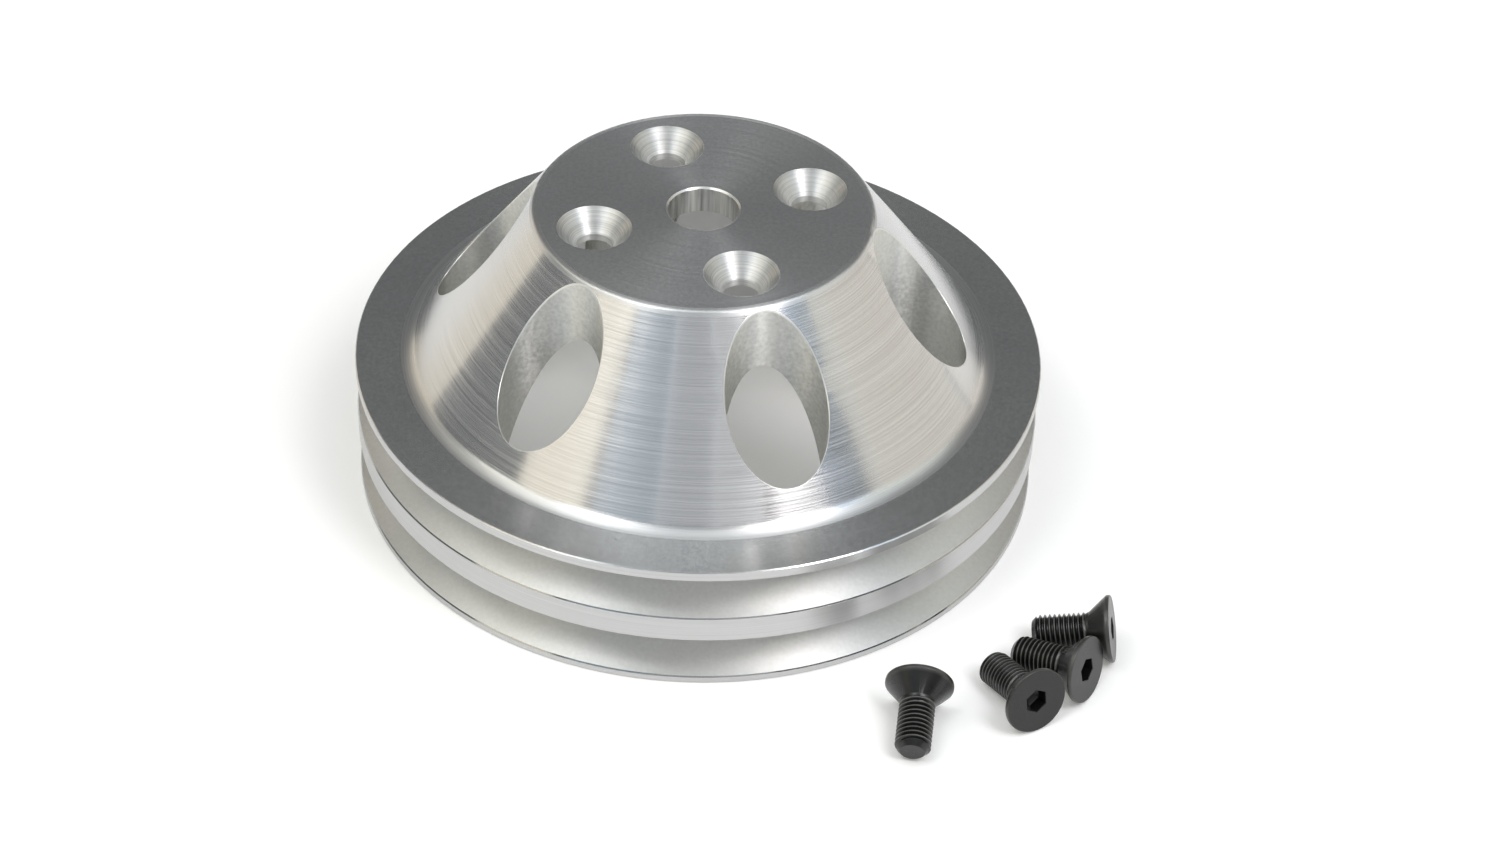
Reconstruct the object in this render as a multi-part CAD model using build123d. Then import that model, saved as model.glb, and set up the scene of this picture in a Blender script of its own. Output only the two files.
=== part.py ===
"""Two-groove V-belt pulley for a water pump, with its four flat-head hub screws lying beside it.

Millimetres. The origin is the centre of the hub seat, the flat back of the nose plate that clamps
against the pump's hub. +Z runs along the pulley's axis towards its nose. The pulley lies on the
flat back of its rim, and the screws lie loose on the same surface.
"""

import os
from math import atan2, cos, degrees, radians, sin, tan

from build123d import *

# Nose plate and the holes that fasten it
PLATE_THICKNESS = 6.35
NOSE_RADIUS = 37.97  # where the cone would meet the nose face without its rounded edge
NOSE_EDGE_RADIUS = 1.0
BORE_RADIUS = 7.9375
BORE_CHAMFER = 0.4
BOLT_CIRCLE_RADIUS = 25.4
BOLT_COUNT = 4
BOLT_FIRST_ANGLE = 20
BOLT_HOLE_RADIUS = 4.2
COUNTERSINK_RADIUS = 8.3
COUNTERSINK_ANGLE = 82

# Cone
NOSE_ABOVE_RIM = 38.1
CONE_BASE_RADIUS = 66.14
CONE_BASE_FILLET = 4.2
WINDOW_RADIUS = 11.4
WINDOW_CIRCLE_RADIUS = 49.9
WINDOW_COUNT = 6
WINDOW_FIRST_ANGLE = 50
WINDOW_EDGE_BREAK = 0.2

# Rim, its lands and the two belt grooves, from front to back
RIM_RADIUS = 78.74
FRONT_LAND = 2.5
GROOVE_WIDTH = 10.7
MIDDLE_LAND = 6.4
BACK_LAND = 1.8
GROOVE_DEPTH = 12.0
GROOVE_ANGLE = 36
GROOVE_ROOT_RADIUS = 0.8
LAND_EDGE_BREAK = 0.25

# Cavity, open at the back
CAVITY_TOP_RADIUS = 33.6
CAVITY_MOUTH_RADIUS = 61.6
CAVITY_TAPER = 0.52  # radius gained per millimetre of depth
CAVITY_CORNER_RADIUS = 2.0
SEAM_ANGLE = 80  # keeps the seam of the turned faces clear of every hole

# Screws, 5/16-24 flat-head socket cap
HEAD_RADIUS = 7.45
HEAD_LAND = 0.9
HEAD_EDGE_RADIUS = 0.25
THREAD_RADIUS = 3.9
THREAD_PITCH = 25.4 / 24
THREAD_DEPTH = 0.613 * THREAD_PITCH
SCREW_LENGTH = 17.5
TIP_CHAMFER = 1.2
SOCKET_ACROSS_FLATS = 4.76
SOCKET_DEPTH = 3.2
NECK_LENGTH = 0.7

# Where each loose screw lies: head centre in plan, then the compass direction of its tip
SCREW_PLACES = {
    "screw_1": (49.5, -84.3, 263.3),
    "screw_2": (74.3, -88.9, 120.0),
    "screw_3": (85.9, -78.8, 147.5),
    "screw_4": (92.5, -65.5, 173.0),
}

RIM_FRONT = PLATE_THICKNESS - NOSE_ABOVE_RIM
RIM_WIDTH = FRONT_LAND + 2 * GROOVE_WIDTH + MIDDLE_LAND + BACK_LAND
FLOOR = RIM_FRONT - RIM_WIDTH


def corners(sketch, points):
    """The sketch's corners that stand at the given radius and height points."""
    places = [Vector(*point) for point in points]
    return [v for v in sketch.vertices() if any((v.center() - p).length < 0.01 for p in places)]


def groove(top):
    """A V groove's four corners, from the land above it to the land below it."""
    slope = GROOVE_DEPTH * tan(radians(GROOVE_ANGLE / 2))
    root = RIM_RADIUS - GROOVE_DEPTH
    bottom = top - GROOVE_WIDTH
    return [(RIM_RADIUS, top), (root, top - slope), (root, bottom + slope), (RIM_RADIUS, bottom)]


def pulley_section():
    """Half of the pulley's section, with radius along X and height along Y."""
    first = groove(RIM_FRONT - FRONT_LAND)
    second = groove(first[-1][1] - MIDDLE_LAND)
    taper_end = -(CAVITY_MOUTH_RADIUS - CAVITY_TOP_RADIUS) / CAVITY_TAPER
    nose_corner = (NOSE_RADIUS, PLATE_THICKNESS)
    cone_foot = (CONE_BASE_RADIUS, RIM_FRONT)
    rim_front = (RIM_RADIUS, RIM_FRONT)
    rim_back = (RIM_RADIUS, FLOOR)
    mouth = (CAVITY_MOUTH_RADIUS, FLOOR)
    cavity_corner = (CAVITY_TOP_RADIUS, 0)
    outline = [
        (BORE_RADIUS, 0),
        (BORE_RADIUS, PLATE_THICKNESS - BORE_CHAMFER),
        (BORE_RADIUS + BORE_CHAMFER, PLATE_THICKNESS),
        nose_corner,
        cone_foot,
        rim_front,
        *first,
        *second,
        rim_back,
        mouth,
        (CAVITY_MOUTH_RADIUS, taper_end),
        cavity_corner,
    ]
    section = make_face(Polyline(*outline, close=True))
    section = fillet(corners(section, [nose_corner]), NOSE_EDGE_RADIUS)
    section = fillet(corners(section, [cone_foot]), CONE_BASE_FILLET)
    section = fillet(corners(section, [cavity_corner]), CAVITY_CORNER_RADIUS)
    section = fillet(corners(section, first[1:3] + second[1:3]), GROOVE_ROOT_RADIUS)
    land_corners = [rim_front, first[0], first[-1], second[0], second[-1], rim_back, mouth]
    return chamfer(corners(section, land_corners), LAND_EDGE_BREAK)


def polar(radius, count, first_angle):
    """Places spaced evenly on a circle about the pulley's axis."""
    return PolarLocations(radius, count, start_angle=first_angle)


def make_pulley():
    """One turned billet: nose plate, cone with its windows, and the grooved rim."""
    body = Rot(0, 0, SEAM_ANGLE) * revolve(Plane.XZ * pulley_section(), Axis.Z, 360)
    through = 2 * (PLATE_THICKNESS - FLOOR)
    window = Cylinder(WINDOW_RADIUS, through)
    body -= polar(WINDOW_CIRCLE_RADIUS, WINDOW_COUNT, WINDOW_FIRST_ANGLE) * window
    window_rims = [edge for edge in body.edges() if edge.geom_type == GeomType.BSPLINE]
    body = chamfer(window_rims, WINDOW_EDGE_BREAK)
    sink_depth = (COUNTERSINK_RADIUS - BOLT_HOLE_RADIUS) / tan(radians(COUNTERSINK_ANGLE / 2))
    sink_height = PLATE_THICKNESS - sink_depth / 2
    sink = Pos(0, 0, sink_height) * Cone(BOLT_HOLE_RADIUS, COUNTERSINK_RADIUS, sink_depth)
    hole = Cylinder(BOLT_HOLE_RADIUS, 3 * PLATE_THICKNESS) + sink
    body -= polar(BOLT_CIRCLE_RADIUS, BOLT_COUNT, BOLT_FIRST_ANGLE) * hole
    return body


def screw_section():
    """Half of a screw's section: distance from the head's face along X, radius along Y."""
    head_end = HEAD_LAND + (HEAD_RADIUS - THREAD_RADIUS) / tan(radians(COUNTERSINK_ANGLE / 2))
    rim = [(0, HEAD_RADIUS), (HEAD_LAND, HEAD_RADIUS)]
    envelope = make_face(
        Polyline(
            (0, 0),
            *rim,
            (head_end, THREAD_RADIUS),
            (SCREW_LENGTH - TIP_CHAMFER, THREAD_RADIUS),
            (SCREW_LENGTH, THREAD_RADIUS - TIP_CHAMFER),
            (SCREW_LENGTH, 0),
            close=True,
        )
    )
    envelope = fillet(corners(envelope, rim), HEAD_EDGE_RADIUS)
    crest = THREAD_PITCH / 16
    flank = THREAD_DEPTH * tan(radians(30))
    notch = make_face(
        Polyline(
            (crest, THREAD_RADIUS + 1),
            (crest, THREAD_RADIUS),
            (crest + flank, THREAD_RADIUS - THREAD_DEPTH),
            (THREAD_PITCH - crest - flank, THREAD_RADIUS - THREAD_DEPTH),
            (THREAD_PITCH - crest, THREAD_RADIUS),
            (THREAD_PITCH - crest, THREAD_RADIUS + 1),
            close=True,
        )
    )
    thread_start = head_end + NECK_LENGTH
    turns = int((SCREW_LENGTH - thread_start) / THREAD_PITCH)
    for turn in range(turns):
        envelope -= Pos(thread_start + turn * THREAD_PITCH, 0) * notch
    return envelope


def make_screw():
    """A screw along +X, with the centre of its head's face at the origin."""
    body = revolve(Plane.XZ * screw_section(), Axis.X, 360)
    hexagon = RegularPolygon(SOCKET_ACROSS_FLATS / 2, 6, major_radius=False, rotation=30)
    return body - extrude(Plane.YZ * hexagon, SOCKET_DEPTH)


def lay_down(screw, x, y, heading):
    """Rests a screw on its head's rim and the edge of its tip, with its tip pointing along heading."""
    reach = SCREW_LENGTH - TIP_CHAMFER - HEAD_LAND
    tilt = atan2(HEAD_RADIUS - THREAD_RADIUS, reach)
    height = FLOOR + HEAD_LAND * sin(tilt) + HEAD_RADIUS * cos(tilt)
    return Pos(x, y, height) * Rot(0, 0, heading) * Rot(0, degrees(tilt), 0) * screw


nodes = {"pulley": make_pulley()}
for name, place in SCREW_PLACES.items():
    nodes[name] = lay_down(make_screw(), *place)

os.makedirs("parts", exist_ok=True)
for name, shape in nodes.items():
    shape.label = name
    export_step(shape, f"parts/{name}.step")
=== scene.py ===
"""Studio scene of a two-groove V-belt pulley with its four loose hub screws.

Metres, in the same frame as the CAD: the origin is the centre of the hub seat, and +Z runs
towards the pulley's nose. Everything stands on the floor under the pulley's rim.
"""

from math import atan2, cos, pi, radians, sin, tan

import bmesh
import bpy
from mathutils import Matrix, Vector


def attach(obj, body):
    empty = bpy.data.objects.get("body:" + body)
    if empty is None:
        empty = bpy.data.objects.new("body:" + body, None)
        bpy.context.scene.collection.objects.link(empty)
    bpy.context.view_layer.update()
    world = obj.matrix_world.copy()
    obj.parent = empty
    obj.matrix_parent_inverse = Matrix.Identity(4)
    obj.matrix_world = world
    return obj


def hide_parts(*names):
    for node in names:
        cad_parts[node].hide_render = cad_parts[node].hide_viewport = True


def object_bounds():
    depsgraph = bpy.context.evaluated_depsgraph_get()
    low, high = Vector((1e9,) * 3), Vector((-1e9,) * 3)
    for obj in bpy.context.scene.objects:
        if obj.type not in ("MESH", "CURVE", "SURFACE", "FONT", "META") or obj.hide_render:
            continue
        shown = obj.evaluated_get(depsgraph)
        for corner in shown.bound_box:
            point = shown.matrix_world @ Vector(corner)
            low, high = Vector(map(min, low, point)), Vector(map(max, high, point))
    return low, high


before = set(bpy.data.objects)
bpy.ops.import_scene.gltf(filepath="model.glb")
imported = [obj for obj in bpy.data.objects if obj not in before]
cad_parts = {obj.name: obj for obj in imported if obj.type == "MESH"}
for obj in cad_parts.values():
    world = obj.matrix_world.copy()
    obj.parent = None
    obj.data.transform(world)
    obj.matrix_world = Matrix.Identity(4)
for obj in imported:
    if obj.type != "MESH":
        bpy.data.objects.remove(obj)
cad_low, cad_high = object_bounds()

MM = 0.001
FLOOR = cad_low.z

# The pulley's faces and holes, whose finishes differ
WINDOW_RADIUS = 11.4 * MM
WINDOW_CIRCLE_RADIUS = 49.9 * MM
WINDOW_COUNT = 6
WINDOW_FIRST_ANGLE = radians(50)
WINDOW_EDGE_BREAK = 0.2 * MM
COUNTERSINK_RADIUS = 8.3 * MM
BOLT_CIRCLE_RADIUS = 25.4 * MM
BOLT_COUNT = 4
BOLT_FIRST_ANGLE = radians(20)
TOOL_EDGE = 0.15 * MM  # how far a face may lie from its ideal place and still be told apart
NOSE_FACE = 6.35 * MM
NOSE_RADIUS = 37.97 * MM
NOSE_EDGE_WIDTH = 1.2 * MM
NOSE_EDGE_HEIGHT = 1 * MM
FOOT_START = 64.9 * MM  # where the cone runs into the fillet at its foot
FOOT_END = 68.26 * MM
FOOT_FILLET = 4.2 * MM
FOOT_RAMP = 1.5 * MM  # over which the cone's finish gives way to the fillet's
RIM_RADIUS = 78.74 * MM
RIM_FRONT = -31.75 * MM
LAND_EDGE_BREAK = 0.25 * MM
GROOVE_DEPTH = 12 * MM
CAVITY_TOP_RADIUS = 33.6 * MM
CAVITY_TAPER = 0.52
BORE_RADIUS = 7.9375 * MM
BORE_CHAMFER = 0.4 * MM
HOLE_SLACK = 0.03 * MM  # how far the mesh of a hole may stray from its true circle

# Marks in the metal
MARK_WIDTH = 0.22 * MM
MARK_LENGTH = 45 * MM
MARK_HEIGHT = 0.0022 * MM
HAZE_SIZE = 12 * MM
CLOUD_SIZE = 0.9 * MM
BORE_STREAK_WIDTH = 0.9 * MM
BORE_STREAK_DRAW = 0.05  # the bore's streaks, reaming marks and painted reflections, run along it, so they vary this much less that way
OXIDE_GRAIN = 0.4 * MM
OXIDE_GRAIN_HEIGHT = 0.0025 * MM
OXIDE_CLOUD = 4 * MM
NO_RELIEF = 0.5  # the middle of the noise that raises the marks
NOISE_LOW = 0.3  # the noise seldom leaves this range, so it is the one that is spread
NOISE_HIGH = 0.7
LATHE_SHEEN = 0.9  # how strongly the marks draw highlights out across themselves

# The metal, region by region, with painted highlights, shade and reflections on some of them: a number,
# or a texture and the range that it is spread over.
# The cone's values hold wherever no region is named, and a later region wins over an earlier one
ROUGHNESS = {
    "cone": ("lines", 0.185, 0.265),
    "flat": ("lines", 0.21, 0.27),
    "foot": 0.38,
    "nose_edge": 0.34,
    "land": 0.3,
    "land_edge": 0.14,
    "groove": 0.5,
    "cavity": 0.75,
    "window": ("cloud", 0.38, 0.54),
    "window_edge": 0.38,
    "countersink": 0.5,
    "bore": 0.36,
    "bore_edge": 0.45,
}
BRIGHTNESS = {
    "cone": ("lines", 0.63, 0.76),
    "flat": ("mottle", 0.58, 0.72),
    # The nose face is painted lighter than the rim's flat face, a painted reflection of brighter light
    "nose": ("mottle", 0.7, 0.86),
    "land": ("lines", 0.54, 0.6),
    # The lands' edge breaks are painted dark, a painted reflection of the dark room
    "land_edge": 0.45,
    "groove": ("cloud", 0.79, 0.85),
    "cavity": 0.93,
    "window": ("cloud", 0.6, 0.78),
    # The windows' edge breaks are painted light, a painted highlight
    "window_edge": 0.8,
    "countersink": ("lines", 0.62, 0.88),
    # The bore's streaks are partly reaming marks and partly painted reflections of its glossy wall
    "bore": ("bore_streaks", 0.42, 0.9),
    # The bore's chamfer is painted light, a painted highlight ring
    "bore_edge": 0.95,
}
BLUE_SHARE = {"cone": 1, "groove": 0.98, "window": 0.96, "countersink": 0.98, "bore": 0.98}
MOTTLE_SHARE = 0.7  # how much of the mottle is fine cloud, and the rest is broad haze

# The black finish of the screws
OXIDE_BRIGHTNESS = (0.004, 0.008)
OXIDE_BLUE_SHARE = 0.93
OXIDE_ROUGHNESS = (0.26, 0.34)
OXIDE_SPECULAR = 0.55
# The lighter colour on the screws' crests and head rims is partly wear of the black finish and partly
# painted highlight
WORN_AND_SHEEN_BRIGHTNESS = 0.15
WORN_AND_SHEEN_PATCHES = (0.4, 1)
WEAR_AND_SHEEN = "edge_wear_and_sheen"  # the screws' vertex attribute for wear and painted highlight, 0 where the black finish is whole and no highlight is painted
CREST_WEAR_AND_SHEEN = 1
RIM_WEAR_AND_SHEEN = 0.35

# Screws, 5/16-24 flat-head socket cap
HEAD_RADIUS = 7.45 * MM
HEAD_LAND = 0.9 * MM
HEAD_EDGE_RADIUS = 0.25 * MM
HEAD_HALF_ANGLE = radians(41)
THREAD_RADIUS = 3.9 * MM
THREAD_PITCH = 25.4 * MM / 24
THREAD_DEPTH = 0.613 * THREAD_PITCH
CREST_HALF_WIDTH = THREAD_PITCH / 16
FLANK_HALF_ANGLE = radians(30)
WORN_AND_SHEEN_FLANK = 0.2  # how far down the flanks the crests' wear and painted highlight fade out
SCREW_LENGTH = 17.5 * MM
TIP_CHAMFER = 1.2 * MM
SOCKET_ACROSS_FLATS = 4.76 * MM
SOCKET_DEPTH = 2.9 * MM
SOCKET_LEAD_IN = 0.12 * MM
DRILL_POINT_SLOPE = radians(31)
NECK_LENGTH = 0.7 * MM
NECK_START = HEAD_LAND + (HEAD_RADIUS - THREAD_RADIUS) / tan(HEAD_HALF_ANGLE)
PINHOLE = 0.02  # the small closing face at each end, as a share of the radius around it
FACE_RING = 0.97  # the last flat row of the head's face, as a share of where its edge starts
EDGE_STEPS = 4  # faces across each half of the head's rounded edge
RIM_WEAR_AND_SHEEN_DEPTH = 0.9 * HEAD_EDGE_RADIUS
CREST_WEAR_AND_SHEEN_DEPTH = 0.1 * THREAD_DEPTH
MERGE_DISTANCE = 0.001 * MM
SHARP_ANGLE = radians(35)
COLUMNS = 96  # vertices around a screw, a multiple of 6 so that the socket's corners are exact

# Where each loose screw lies, as in the CAD: its head's centre in plan, then the angle that its
# tip points along, from +X towards +Y. These are not hand-set: a fitting program and a search
# for clearance worked them out, and they were rounded
SCREW_PLACES = {
    "screw_1": (49.5 * MM, -84.3 * MM, radians(263.3)),
    "screw_2": (74.3 * MM, -88.9 * MM, radians(120.0)),
    "screw_3": (85.9 * MM, -78.8 * MM, radians(147.5)),
    "screw_4": (92.5 * MM, -65.5 * MM, radians(173.0)),
}

# Studio: each soft box's compass bearing and elevation in degrees as seen from the pulley (0 is
# behind it, 90 to its right), its width and height in degrees, its brightness, where 1 is the
# white of the floor, and its colour. The bearings and sizes were set one by one. The brightness and
# colour of every box but left_back_high, and the first values of FLOOR_GLOW and SURROUND, are
# not hand-set: a least-squares program worked them out, and they were rounded
SOFT_BOX_DISTANCE = 1.6
SOFT_BOXES = {
    "left_card": (-55, 12, 28, 36, 0.65, (1.0, 0.88, 0.69)),
    "left_back_high": (-68, 43, 30, 18, 0.75, (1.0, 0.97, 0.86)),
    "left_high": (-94, 50, 18, 32, 1.8, (1.0, 0.99, 0.9)),
    "front_left_card": (-125.5, 25, 24, 38, 0.96, (1.0, 0.92, 0.76)),
    "left_key": (-132, 60, 15, 26, 4.3, (1.0, 1.0, 1.0)),
    "camera_side": (-154, 28, 22, 40, 0.38, (0.7, 0.86, 1.0)),
    "camera_front": (-177, 28, 20, 40, 0.4, (0.9, 0.93, 1.0)),
    "camera_right": (163, 28, 16, 40, 0.52, (0.95, 0.97, 1.0)),
    "right_key": (135, 52, 17, 30, 7.6, (1.0, 0.97, 0.97)),
    "right_shoulder": (118, 45, 14, 30, 1.15, (0.65, 0.79, 1.0)),
    "right_wall": (87, 12, 50, 32, 0.59, (1.0, 0.92, 0.8)),
    "right_back_card": (53, 10, 16, 34, 0.75, (1.0, 0.92, 0.81)),
    "right_high": (88, 40, 40, 22, 0.9, (0.93, 1.0, 0.95)),
    "overhead": (0, 90, 66, 34, 1.35, (0.93, 0.98, 1.0)),
}
FLOOR_HALF_WIDTH = 12
FLOOR_COLOUR = (0.9, 0.9, 0.9, 1)
FLOOR_ROUGHNESS = 0.9
FLOOR_SPECULAR = 0.1
FLOOR_GLOW = 0.14  # the light that the floor gives off itself, where 1 is white
FLOOR_GLOW_COLOUR = (1, 0.98, 0.92, 1)
FADE_START = 0.4  # metres from the pulley's axis, past the edge of the camera's view
FADE_END = 1
SURROUND = (0.184, 0.19, 0.192)  # the room, as the metal sees it

# Camera, from the centre of the rim's front face
CAMERA_DISTANCE = 702.3 * MM
CAMERA_ELEVATION = radians(37.86)
CAMERA_AIM = (("Y", radians(-0.977)), ("X", radians(-1.662)), ("Z", radians(1.802)))
CAMERA_LENS = 73.3
CAMERA_SENSOR = 36
CAMERA_CLIP = 0.05


def join(tree, kind, inputs=(), **settings):
    """Adds a shader node, sets its properties, and fills its inputs with values or links."""
    node = tree.nodes.new("ShaderNode" + kind)
    for key, value in settings.items():
        setattr(node, key, value)
    for key, value in dict(inputs).items():
        if isinstance(value, bpy.types.NodeSocket):
            tree.links.new(value, node.inputs[key])
        else:
            node.inputs[key].default_value = value
    return node


def calc(tree, operation, *values):
    """One sum on shader numbers."""
    return join(tree, "Math", enumerate(values), operation=operation).outputs[0]


def blend(tree, share, first, second):
    """The first number where share is 0, and the second where it is 1."""
    return join(tree, "Mix", {0: share, 2: first, 3: second}, data_type="FLOAT").outputs[0]


def noise(tree, place, scale, detail, fourth=0):
    """Smooth noise from about 0.3 to 0.7, over a place and a fourth coordinate."""
    inputs = {"Vector": place, "W": fourth, "Scale": scale, "Detail": detail}
    return join(tree, "TexNoise", inputs, noise_dimensions="4D").outputs[0]


def scaled(tree, place, scale):
    """A place stretched by a different factor along each axis."""
    return join(tree, "VectorMath", {0: place, 1: scale}, operation="MULTIPLY").outputs[0]


def spread(tree, value, low, high):
    """Noise spread over a range of numbers."""
    limits = {"From Min": NOISE_LOW, "From Max": NOISE_HIGH, "To Min": low, "To Max": high}
    return join(tree, "MapRange", {"Value": value, **limits}).outputs[0]


def blank_material(name):
    """A new material with its node tree, and the surface shader already joined to its output."""
    material = bpy.data.materials.new(name)
    material.use_nodes = True
    tree = material.node_tree
    tree.nodes.clear()
    output = tree.nodes.new("ShaderNodeOutputMaterial")
    surface = tree.nodes.new("ShaderNodeBsdfPrincipled")
    tree.links.new(surface.outputs[0], output.inputs["Surface"])
    return material, tree, surface


def nearest_hole_distance(tree, radius, angle, circle_radius, count, first_angle):
    """How far a point is from the axis of the nearest of a circle of holes."""
    step = 2 * pi / count
    turned = calc(tree, "SUBTRACT", angle, first_angle)
    wrapped = calc(tree, "WRAP", turned, step / 2, -step / 2)
    along = calc(tree, "MULTIPLY", calc(tree, "COSINE", wrapped), 2 * circle_radius)
    squares = calc(tree, "ADD", calc(tree, "MULTIPLY", radius, radius), circle_radius**2)
    return calc(tree, "SQRT", calc(tree, "SUBTRACT", squares, calc(tree, "MULTIPLY", radius, along)))


def region_masks(tree, radius, z, to_window, to_bolt):
    """Shader masks for the faces that were cut or finished in another way than the cone, and for the
    edges and faces where highlights, shade and reflections are painted.
    """

    def below(value, limit):
        """A mask that is 1 where the value is under the limit."""
        return calc(tree, "LESS_THAN", value, limit)

    def within(value, low, high):
        """A mask that is 1 where the value is between two limits."""
        return calc(tree, "COMPARE", value, (low + high) / 2, (high - low) / 2)

    def both(first, second):
        """A mask that is 1 where both masks are."""
        return calc(tree, "MULTIPLY", first, second)

    behind_rim_face = below(z, RIM_FRONT - 2 * TOOL_EDGE)
    at_land_edge = within(radius, RIM_RADIUS - LAND_EDGE_BREAK, RIM_RADIUS - LAND_EDGE_BREAK / 5)
    groove_root = RIM_RADIUS - GROOVE_DEPTH - TOOL_EDGE
    in_groove_band = within(radius, groove_root, RIM_RADIUS - LAND_EDGE_BREAK)
    untapered = calc(tree, "MULTIPLY_ADD", z, CAVITY_TAPER, radius)
    under_cone = below(untapered, CAVITY_TOP_RADIUS + TOOL_EDGE)
    at_rim_height = within(z, RIM_FRONT - TOOL_EDGE, RIM_FRONT + TOOL_EDGE)
    on_rim_face = both(at_rim_height, below(FOOT_END, radius))
    on_nose = below(NOSE_FACE - TOOL_EDGE, z)
    on_foot = both(within(radius, FOOT_START, FOOT_END), below(RIM_FRONT - TOOL_EDGE / 3, z))
    ramp = {"Value": radius, "From Min": FOOT_START, "From Max": FOOT_START + FOOT_RAMP}
    foot_ramp = join(tree, "MapRange", ramp, interpolation_type="SMOOTHSTEP").outputs[0]
    near_nose_edge = below(NOSE_RADIUS - NOSE_EDGE_WIDTH, radius)
    near_bore = below(radius, BORE_RADIUS + BORE_CHAMFER + HOLE_SLACK)
    return {
        "flat": calc(tree, "MAXIMUM", on_rim_face, on_nose),
        "nose": on_nose,
        "foot": both(foot_ramp, on_foot),
        "fillet": on_foot,
        "nose_edge": both(near_nose_edge, below(NOSE_FACE - NOSE_EDGE_HEIGHT, z)),
        "land": both(below(RIM_RADIUS - LAND_EDGE_BREAK, radius), behind_rim_face),
        "land_edge": both(at_land_edge, behind_rim_face),
        "groove": both(in_groove_band, behind_rim_face),
        "cavity": both(under_cone, below(z, TOOL_EDGE)),
        "window": below(to_window, WINDOW_RADIUS + TOOL_EDGE),
        "window_edge": within(to_window, WINDOW_RADIUS, WINDOW_RADIUS + WINDOW_EDGE_BREAK),
        "countersink": below(to_bolt, COUNTERSINK_RADIUS + HOLE_SLACK),
        "bore": both(near_bore, below(-TOOL_EDGE, z)),
        "bore_edge": both(below(BORE_RADIUS + HOLE_SLACK, radius), near_bore),
    }


def patchwork(tree, masks, value, others):
    """The value given, with another in each region named."""
    for region, other in others.items():
        value = blend(tree, masks[region], value, other)
    return value


def from_table(tree, masks, textures, table):
    """A table of the metal's regions as one shader number."""
    values = {}
    for region, entry in table.items():
        if isinstance(entry, tuple):
            texture, low, high = entry
            entry = spread(tree, textures[texture], low, high)
        values[region] = entry
    return patchwork(tree, masks, values.pop("cone"), values)


def smooth_normal(tree, place, radius, on_foot):
    """The surface's normal, worked out on the foot fillet, which the mesh has in long thin faces."""
    x, y, z = join(tree, "SeparateXYZ", {0: place}).outputs
    inwards = calc(tree, "DIVIDE", calc(tree, "SUBTRACT", FOOT_END, radius), radius)
    up = calc(tree, "SUBTRACT", RIM_FRONT + FOOT_FILLET, z)
    parts = {0: calc(tree, "MULTIPLY", x, inwards), 1: calc(tree, "MULTIPLY", y, inwards), 2: up}
    leaning = join(tree, "CombineXYZ", parts).outputs[0]
    worked_out = join(tree, "VectorMath", {0: leaning}, operation="NORMALIZE").outputs[0]
    of_mesh = join(tree, "NewGeometry").outputs["Normal"]
    choice = join(tree, "Mix", {0: on_foot, 4: of_mesh, 5: worked_out}, data_type="VECTOR")
    return choice.outputs[1]


def turned_aluminium():
    """Bare aluminium, with the lathe's marks around the axis and the cutters' in each hole, and painted
    highlights, shade and reflections on some edges, the nose face and the bore.
    """
    material, tree, surface = blank_material("turned_aluminium_metal")
    place = join(tree, "TexCoord").outputs["Object"]
    x, y, z = join(tree, "SeparateXYZ", {0: place}).outputs
    angle = calc(tree, "ARCTAN2", y, x)
    radius = calc(tree, "SQRT", calc(tree, "MULTIPLY_ADD", x, x, calc(tree, "MULTIPLY", y, y)))
    to_window = nearest_hole_distance(
        tree, radius, angle, WINDOW_CIRCLE_RADIUS, WINDOW_COUNT, WINDOW_FIRST_ANGLE
    )
    to_bolt = nearest_hole_distance(
        tree, radius, angle, BOLT_CIRCLE_RADIUS, BOLT_COUNT, BOLT_FIRST_ANGLE
    )
    masks = region_masks(tree, radius, z, to_window, to_bolt)

    swing = patchwork(tree, masks, radius, {"window": to_window, "countersink": to_bolt})
    along = MARK_WIDTH / MARK_LENGTH
    lines = noise(tree, scaled(tree, place, (along, along, 1)), 1 / MARK_WIDTH, 1, swing)
    cloud = noise(tree, place, 1 / CLOUD_SIZE, 3)
    haze = noise(tree, place, 1 / HAZE_SIZE, 3)
    textures = {
        "lines": lines,
        "cloud": cloud,
        "mottle": blend(tree, MOTTLE_SHARE, haze, cloud),
        "bore_streaks": noise(tree, scaled(tree, place, (1, 1, BORE_STREAK_DRAW)), 1 / BORE_STREAK_WIDTH, 2),
    }
    rough = from_table(tree, masks, textures, ROUGHNESS)
    shade = from_table(tree, masks, textures, BRIGHTNESS)
    blue = calc(tree, "MULTIPLY", shade, from_table(tree, masks, textures, BLUE_SHARE))
    colour = join(tree, "CombineColor", {0: shade, 1: shade, 2: blue}).outputs[0]

    unmarked = dict.fromkeys(("foot", "groove", "cavity"), NO_RELIEF)
    height = patchwork(tree, masks, lines, unmarked)
    normal = smooth_normal(tree, place, radius, masks["fillet"])
    marked = {"Strength": 1, "Distance": MARK_HEIGHT, "Height": height, "Normal": normal}
    bump = join(tree, "Bump", marked).outputs[0]
    slant = {0: place, 1: (1, 1, 0), 2: (0, 0, 1)}
    lean = join(tree, "VectorMath", slant, operation="MULTIPLY_ADD").outputs[0]

    tree.links.new(colour, surface.inputs["Base Color"])
    tree.links.new(rough, surface.inputs["Roughness"])
    tree.links.new(bump, surface.inputs["Normal"])
    tree.links.new(lean, surface.inputs["Tangent"])
    surface.inputs["Metallic"].default_value = 1
    surface.inputs["Anisotropic"].default_value = LATHE_SHEEN
    return material


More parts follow.
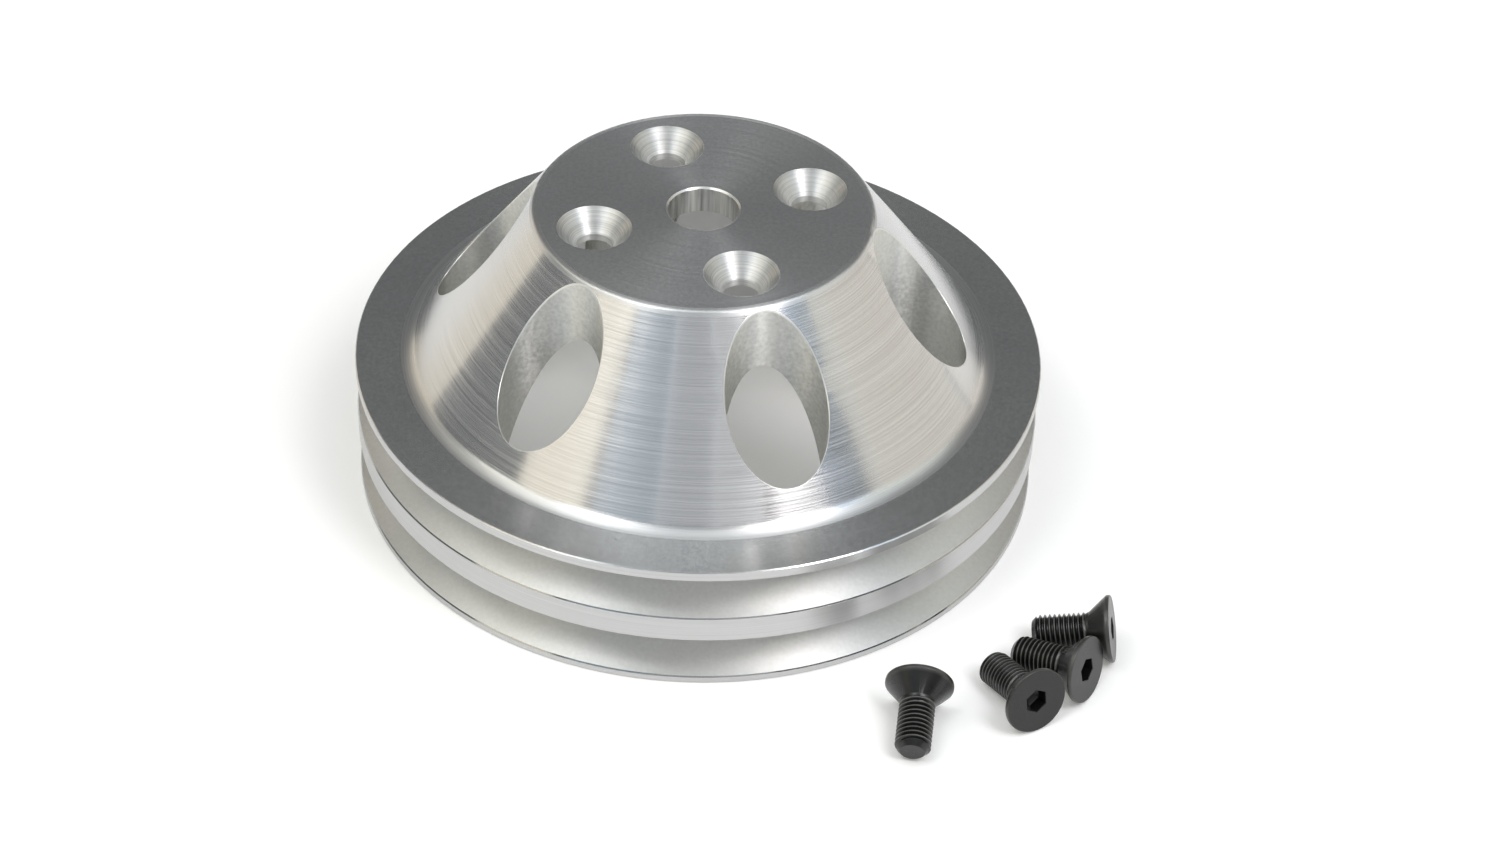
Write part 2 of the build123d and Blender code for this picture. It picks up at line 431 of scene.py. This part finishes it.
def black_oxide():
    """Steel blackened in a hot oxide bath, satin with a trace of oil, and lighter on its edges and
    crests, partly worn and partly painted highlight.
    """
    material, tree, surface = blank_material("black_oxide_steel_finish")
    place = join(tree, "TexCoord").outputs["Object"]
    grain = noise(tree, place, 1 / OXIDE_GRAIN, 3)
    cloud = noise(tree, place, 1 / OXIDE_CLOUD, 2)
    # The attribute lightens crests and head rims: wear of the black finish, and painted highlight
    wear_and_sheen = join(tree, "Attribute", attribute_name=WEAR_AND_SHEEN).outputs["Fac"]
    worn_and_sheen_share = calc(tree, "MULTIPLY", wear_and_sheen, spread(tree, cloud, *WORN_AND_SHEEN_PATCHES))
    shade = blend(tree, worn_and_sheen_share, spread(tree, cloud, *OXIDE_BRIGHTNESS), WORN_AND_SHEEN_BRIGHTNESS)
    blue = calc(tree, "MULTIPLY", shade, OXIDE_BLUE_SHARE)
    colour = join(tree, "CombineColor", {0: shade, 1: shade, 2: blue})
    bump = join(tree, "Bump", {"Strength": 1, "Distance": OXIDE_GRAIN_HEIGHT, "Height": grain})
    tree.links.new(colour.outputs[0], surface.inputs["Base Color"])
    tree.links.new(spread(tree, cloud, *OXIDE_ROUGHNESS), surface.inputs["Roughness"])
    tree.links.new(bump.outputs[0], surface.inputs["Normal"])
    surface.inputs["Specular IOR Level"].default_value = OXIDE_SPECULAR
    return material


def arc_rows(centre, radius, start, end, steps):
    """Points along a small rounded edge, as distance along the screw and radius."""
    turns = [start + (end - start) * step / steps for step in range(steps + 1)]
    return [(centre[0] + radius * cos(turn), centre[1] + radius * sin(turn)) for turn in turns]


def head_rows():
    """The head's rows from the socket's floor out over its face and down its cone."""
    flat = SOCKET_ACROSS_FLATS / 2
    edge = HEAD_EDGE_RADIUS
    drill_point = SOCKET_DEPTH + flat * tan(DRILL_POINT_SLOPE)
    hexagon = [(SOCKET_DEPTH, flat), (SOCKET_LEAD_IN, flat), (0, flat + SOCKET_LEAD_IN)]
    rows = [[(drill_point, PINHOLE * flat)] * COLUMNS]
    for along, apothem in hexagon:
        row = []
        for column in range(COLUMNS):
            swing = (2 * pi * column / COLUMNS) % (pi / 3) - pi / 6
            row.append((along, apothem / cos(swing)))
        rows.append(row)
    under = HEAD_LAND - edge * tan((pi / 2 - HEAD_HALF_ANGLE) / 2)
    outline = [(0, 0.5 * (flat + HEAD_RADIUS)), (0, FACE_RING * (HEAD_RADIUS - edge))]
    outline += arc_rows((edge, HEAD_RADIUS - edge), edge, pi, pi / 2, EDGE_STEPS)
    outline += arc_rows((under, HEAD_RADIUS - edge), edge, pi / 2, HEAD_HALF_ANGLE, EDGE_STEPS)
    cone_start = 2 * edge
    outline += [(HEAD_LAND + cone_start / tan(HEAD_HALF_ANGLE), HEAD_RADIUS - cone_start)]
    return rows + [[point] * COLUMNS for point in outline]


def thread_rows():
    """The thread as one right-hand helix, from under the head to the chamfered tip."""
    crest = CREST_HALF_WIDTH
    flank = THREAD_DEPTH * tan(FLANK_HALF_ANGLE)
    falling = [(crest, 0), (crest + WORN_AND_SHEEN_FLANK * flank, WORN_AND_SHEEN_FLANK), (crest + flank, 1)]
    turn = falling + [(THREAD_PITCH - offset, depth) for offset, depth in reversed(falling)]
    turns = int((SCREW_LENGTH - NECK_START) / THREAD_PITCH) + 3
    rows = []
    for number in range(turns * len(turn)):
        offset, depth = turn[number % len(turn)]
        row = []
        for column in range(COLUMNS):
            lead = number // len(turn) - 1 + column / COLUMNS
            along = min(max(NECK_START + lead * THREAD_PITCH + offset, NECK_START), SCREW_LENGTH)
            runout = min(max((along - NECK_START) / (NECK_LENGTH + THREAD_PITCH), 0), 1)
            tip = THREAD_RADIUS - max(along - (SCREW_LENGTH - TIP_CHAMFER), 0)
            row.append((along, min(THREAD_RADIUS - depth * runout * THREAD_DEPTH, tip)))
        rows.append(row)
    return rows, len(turn)


def screw_mesh(name):
    """A flat-head socket screw along +X, with the centre of its head's face at the origin."""
    head = head_rows()
    thread, rows_in_turn = thread_rows()
    rows = head + thread + [[(SCREW_LENGTH, PINHOLE * THREAD_RADIUS)] * COLUMNS]
    mesh = bmesh.new()
    wear_and_sheen = mesh.verts.layers.float.new(WEAR_AND_SHEEN)
    grid = []
    for row in rows:
        ring = []
        for column, (along, radius) in enumerate(row):
            angle = 2 * pi * column / COLUMNS
            vertex_at = mesh.verts.new((along, -radius * sin(angle), radius * cos(angle)))
            # Crests and head rims get the attribute that stands for wear and for painted highlight
            on_rim = radius > HEAD_RADIUS - RIM_WEAR_AND_SHEEN_DEPTH
            past_neck = along > NECK_START + NECK_LENGTH
            on_crest = past_neck and radius > THREAD_RADIUS - CREST_WEAR_AND_SHEEN_DEPTH
            vertex_at[wear_and_sheen] = CREST_WEAR_AND_SHEEN if on_crest else RIM_WEAR_AND_SHEEN if on_rim else 0
            ring.append(vertex_at)
        grid.append(ring)

    def vertex(row, column):
        """The vertex past the last column is the first one, a turn further along the helix."""
        if column < COLUMNS:
            return grid[row][column]
        if len(head) <= row < len(head) + len(thread):
            row = min(row + rows_in_turn, len(head) + len(thread) - 1)
        return grid[row][0]

    for row in range(len(grid) - 1):
        for column in range(COLUMNS):
            corners = [vertex(row, column), vertex(row, column + 1)]
            corners += [vertex(row + 1, column + 1), vertex(row + 1, column)]
            if corners[1] != corners[2]:
                mesh.faces.new(corners)
    mesh.faces.new(grid[0])
    mesh.faces.new(reversed(grid[-1]))
    bmesh.ops.remove_doubles(mesh, verts=mesh.verts, dist=MERGE_DISTANCE)
    bmesh.ops.recalc_face_normals(mesh, faces=mesh.faces)
    data = bpy.data.meshes.new(name)
    mesh.to_mesh(data)
    mesh.free()
    data.shade_smooth()
    data.set_sharp_from_angle(angle=SHARP_ANGLE)
    return data


def lay_screws(material):
    """Puts a threaded screw over each CAD screw, on its head's rim and the edge of its tip."""
    tilt = atan2(HEAD_RADIUS - THREAD_RADIUS, SCREW_LENGTH - TIP_CHAMFER - HEAD_LAND)
    height = FLOOR + HEAD_LAND * sin(tilt) + HEAD_RADIUS * cos(tilt)
    for body, (x, y, heading) in SCREW_PLACES.items():
        data = screw_mesh(f"threaded_{body}")
        data.materials.append(material)
        turn = Matrix.Rotation(heading, 4, "Z") @ Matrix.Rotation(tilt, 4, "Y")
        data.transform(Matrix.Translation((x, y, height)) @ turn)
        screw = bpy.data.objects.new(f"threaded_{body}", data)
        bpy.context.scene.collection.objects.link(screw)
        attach(screw, body)
        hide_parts(body)


def lay_floor():
    """A plain white light table, which fades into the white room far from the pulley."""
    half = FLOOR_HALF_WIDTH
    data = bpy.data.meshes.new("floor")
    corners = [(x, y, FLOOR) for x, y in ((-half, -half), (half, -half), (half, half), (-half, half))]
    data.from_pydata(corners, [], [(0, 1, 2, 3)])
    material, tree, surface = blank_material("white_floor")
    surface.inputs["Base Color"].default_value = FLOOR_COLOUR
    surface.inputs["Roughness"].default_value = FLOOR_ROUGHNESS
    surface.inputs["Specular IOR Level"].default_value = FLOOR_SPECULAR
    surface.inputs["Emission Color"].default_value = FLOOR_GLOW_COLOUR
    place = join(tree, "TexCoord").outputs["Object"]
    away = join(tree, "VectorMath", {0: place}, operation="LENGTH").outputs["Value"]
    reach = {"Value": away, "From Min": FADE_START, "From Max": FADE_END}
    far = join(tree, "MapRange", reach, interpolation_type="SMOOTHSTEP").outputs[0]
    seen = join(tree, "LightPath").outputs["Is Camera Ray"]
    glow = calc(tree, "MULTIPLY_ADD", far, seen, FLOOR_GLOW)
    tree.links.new(glow, surface.inputs["Emission Strength"])
    data.materials.append(material)
    floor = bpy.data.objects.new("floor", data)
    bpy.context.scene.collection.objects.link(floor)


def hang_soft_box(name, bearing, elevation, width, height, brightness, colour):
    """An area light facing the pulley, sized by the angles that it covers as seen from there."""
    data = bpy.data.lights.new(name, "AREA")
    data.shape = "RECTANGLE"
    data.size = 2 * SOFT_BOX_DISTANCE * tan(radians(width / 2))
    data.size_y = 2 * SOFT_BOX_DISTANCE * tan(radians(height / 2))
    data.color = colour
    data.energy = brightness * pi * data.size * data.size_y
    lift = Matrix.Rotation(radians(elevation) - pi / 2, 4, "X")
    turn = Matrix.Rotation(-radians(bearing), 4, "Z") @ lift
    light = bpy.data.objects.new(name, data)
    light.matrix_world = turn @ Matrix.Translation((0, 0, SOFT_BOX_DISTANCE))
    light.visible_camera = False
    bpy.context.scene.collection.objects.link(light)


def light_studio():
    """Soft boxes around the pulley, in a dim grey room that the camera sees as white."""
    for name, box in SOFT_BOXES.items():
        hang_soft_box(name, *box)
    world = bpy.data.worlds.new("studio")
    world.use_nodes = True
    tree = world.node_tree
    tree.nodes.clear()
    seen = join(tree, "LightPath").outputs["Is Camera Ray"]
    colour = join(
        tree, "Mix", {0: seen, 6: (*SURROUND, 1), 7: (1, 1, 1, 1)}, data_type="RGBA"
    ).outputs[2]
    background = join(tree, "Background", {"Color": colour})
    join(tree, "OutputWorld", {"Surface": background.outputs[0]})
    bpy.context.scene.world = world


def set_camera():
    """The camera stands in front of the pulley, looks down on it, and is aimed a little off it."""
    back = Vector((0, -cos(CAMERA_ELEVATION), sin(CAMERA_ELEVATION)))
    right = Vector((1, 0, 0))
    turn = Matrix((right, back.cross(right), back)).transposed()
    for axis, angle in CAMERA_AIM:
        turn = turn @ Matrix.Rotation(angle, 3, axis)
    data = bpy.data.cameras.new("camera")
    data.sensor_width = CAMERA_SENSOR
    data.lens = CAMERA_LENS
    data.clip_start = CAMERA_CLIP
    camera = bpy.data.objects.new("camera", data)
    place = Vector((0, 0, RIM_FRONT)) + back * CAMERA_DISTANCE
    camera.matrix_world = Matrix.Translation(place) @ turn.to_4x4()
    bpy.context.scene.collection.objects.link(camera)
    bpy.context.scene.camera = camera


bpy.context.scene.view_settings.view_transform = "Standard"
lay_floor()
light_studio()
set_camera()
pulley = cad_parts["pulley"]
pulley.data.materials[0] = turned_aluminium()
lay_screws(black_oxide())
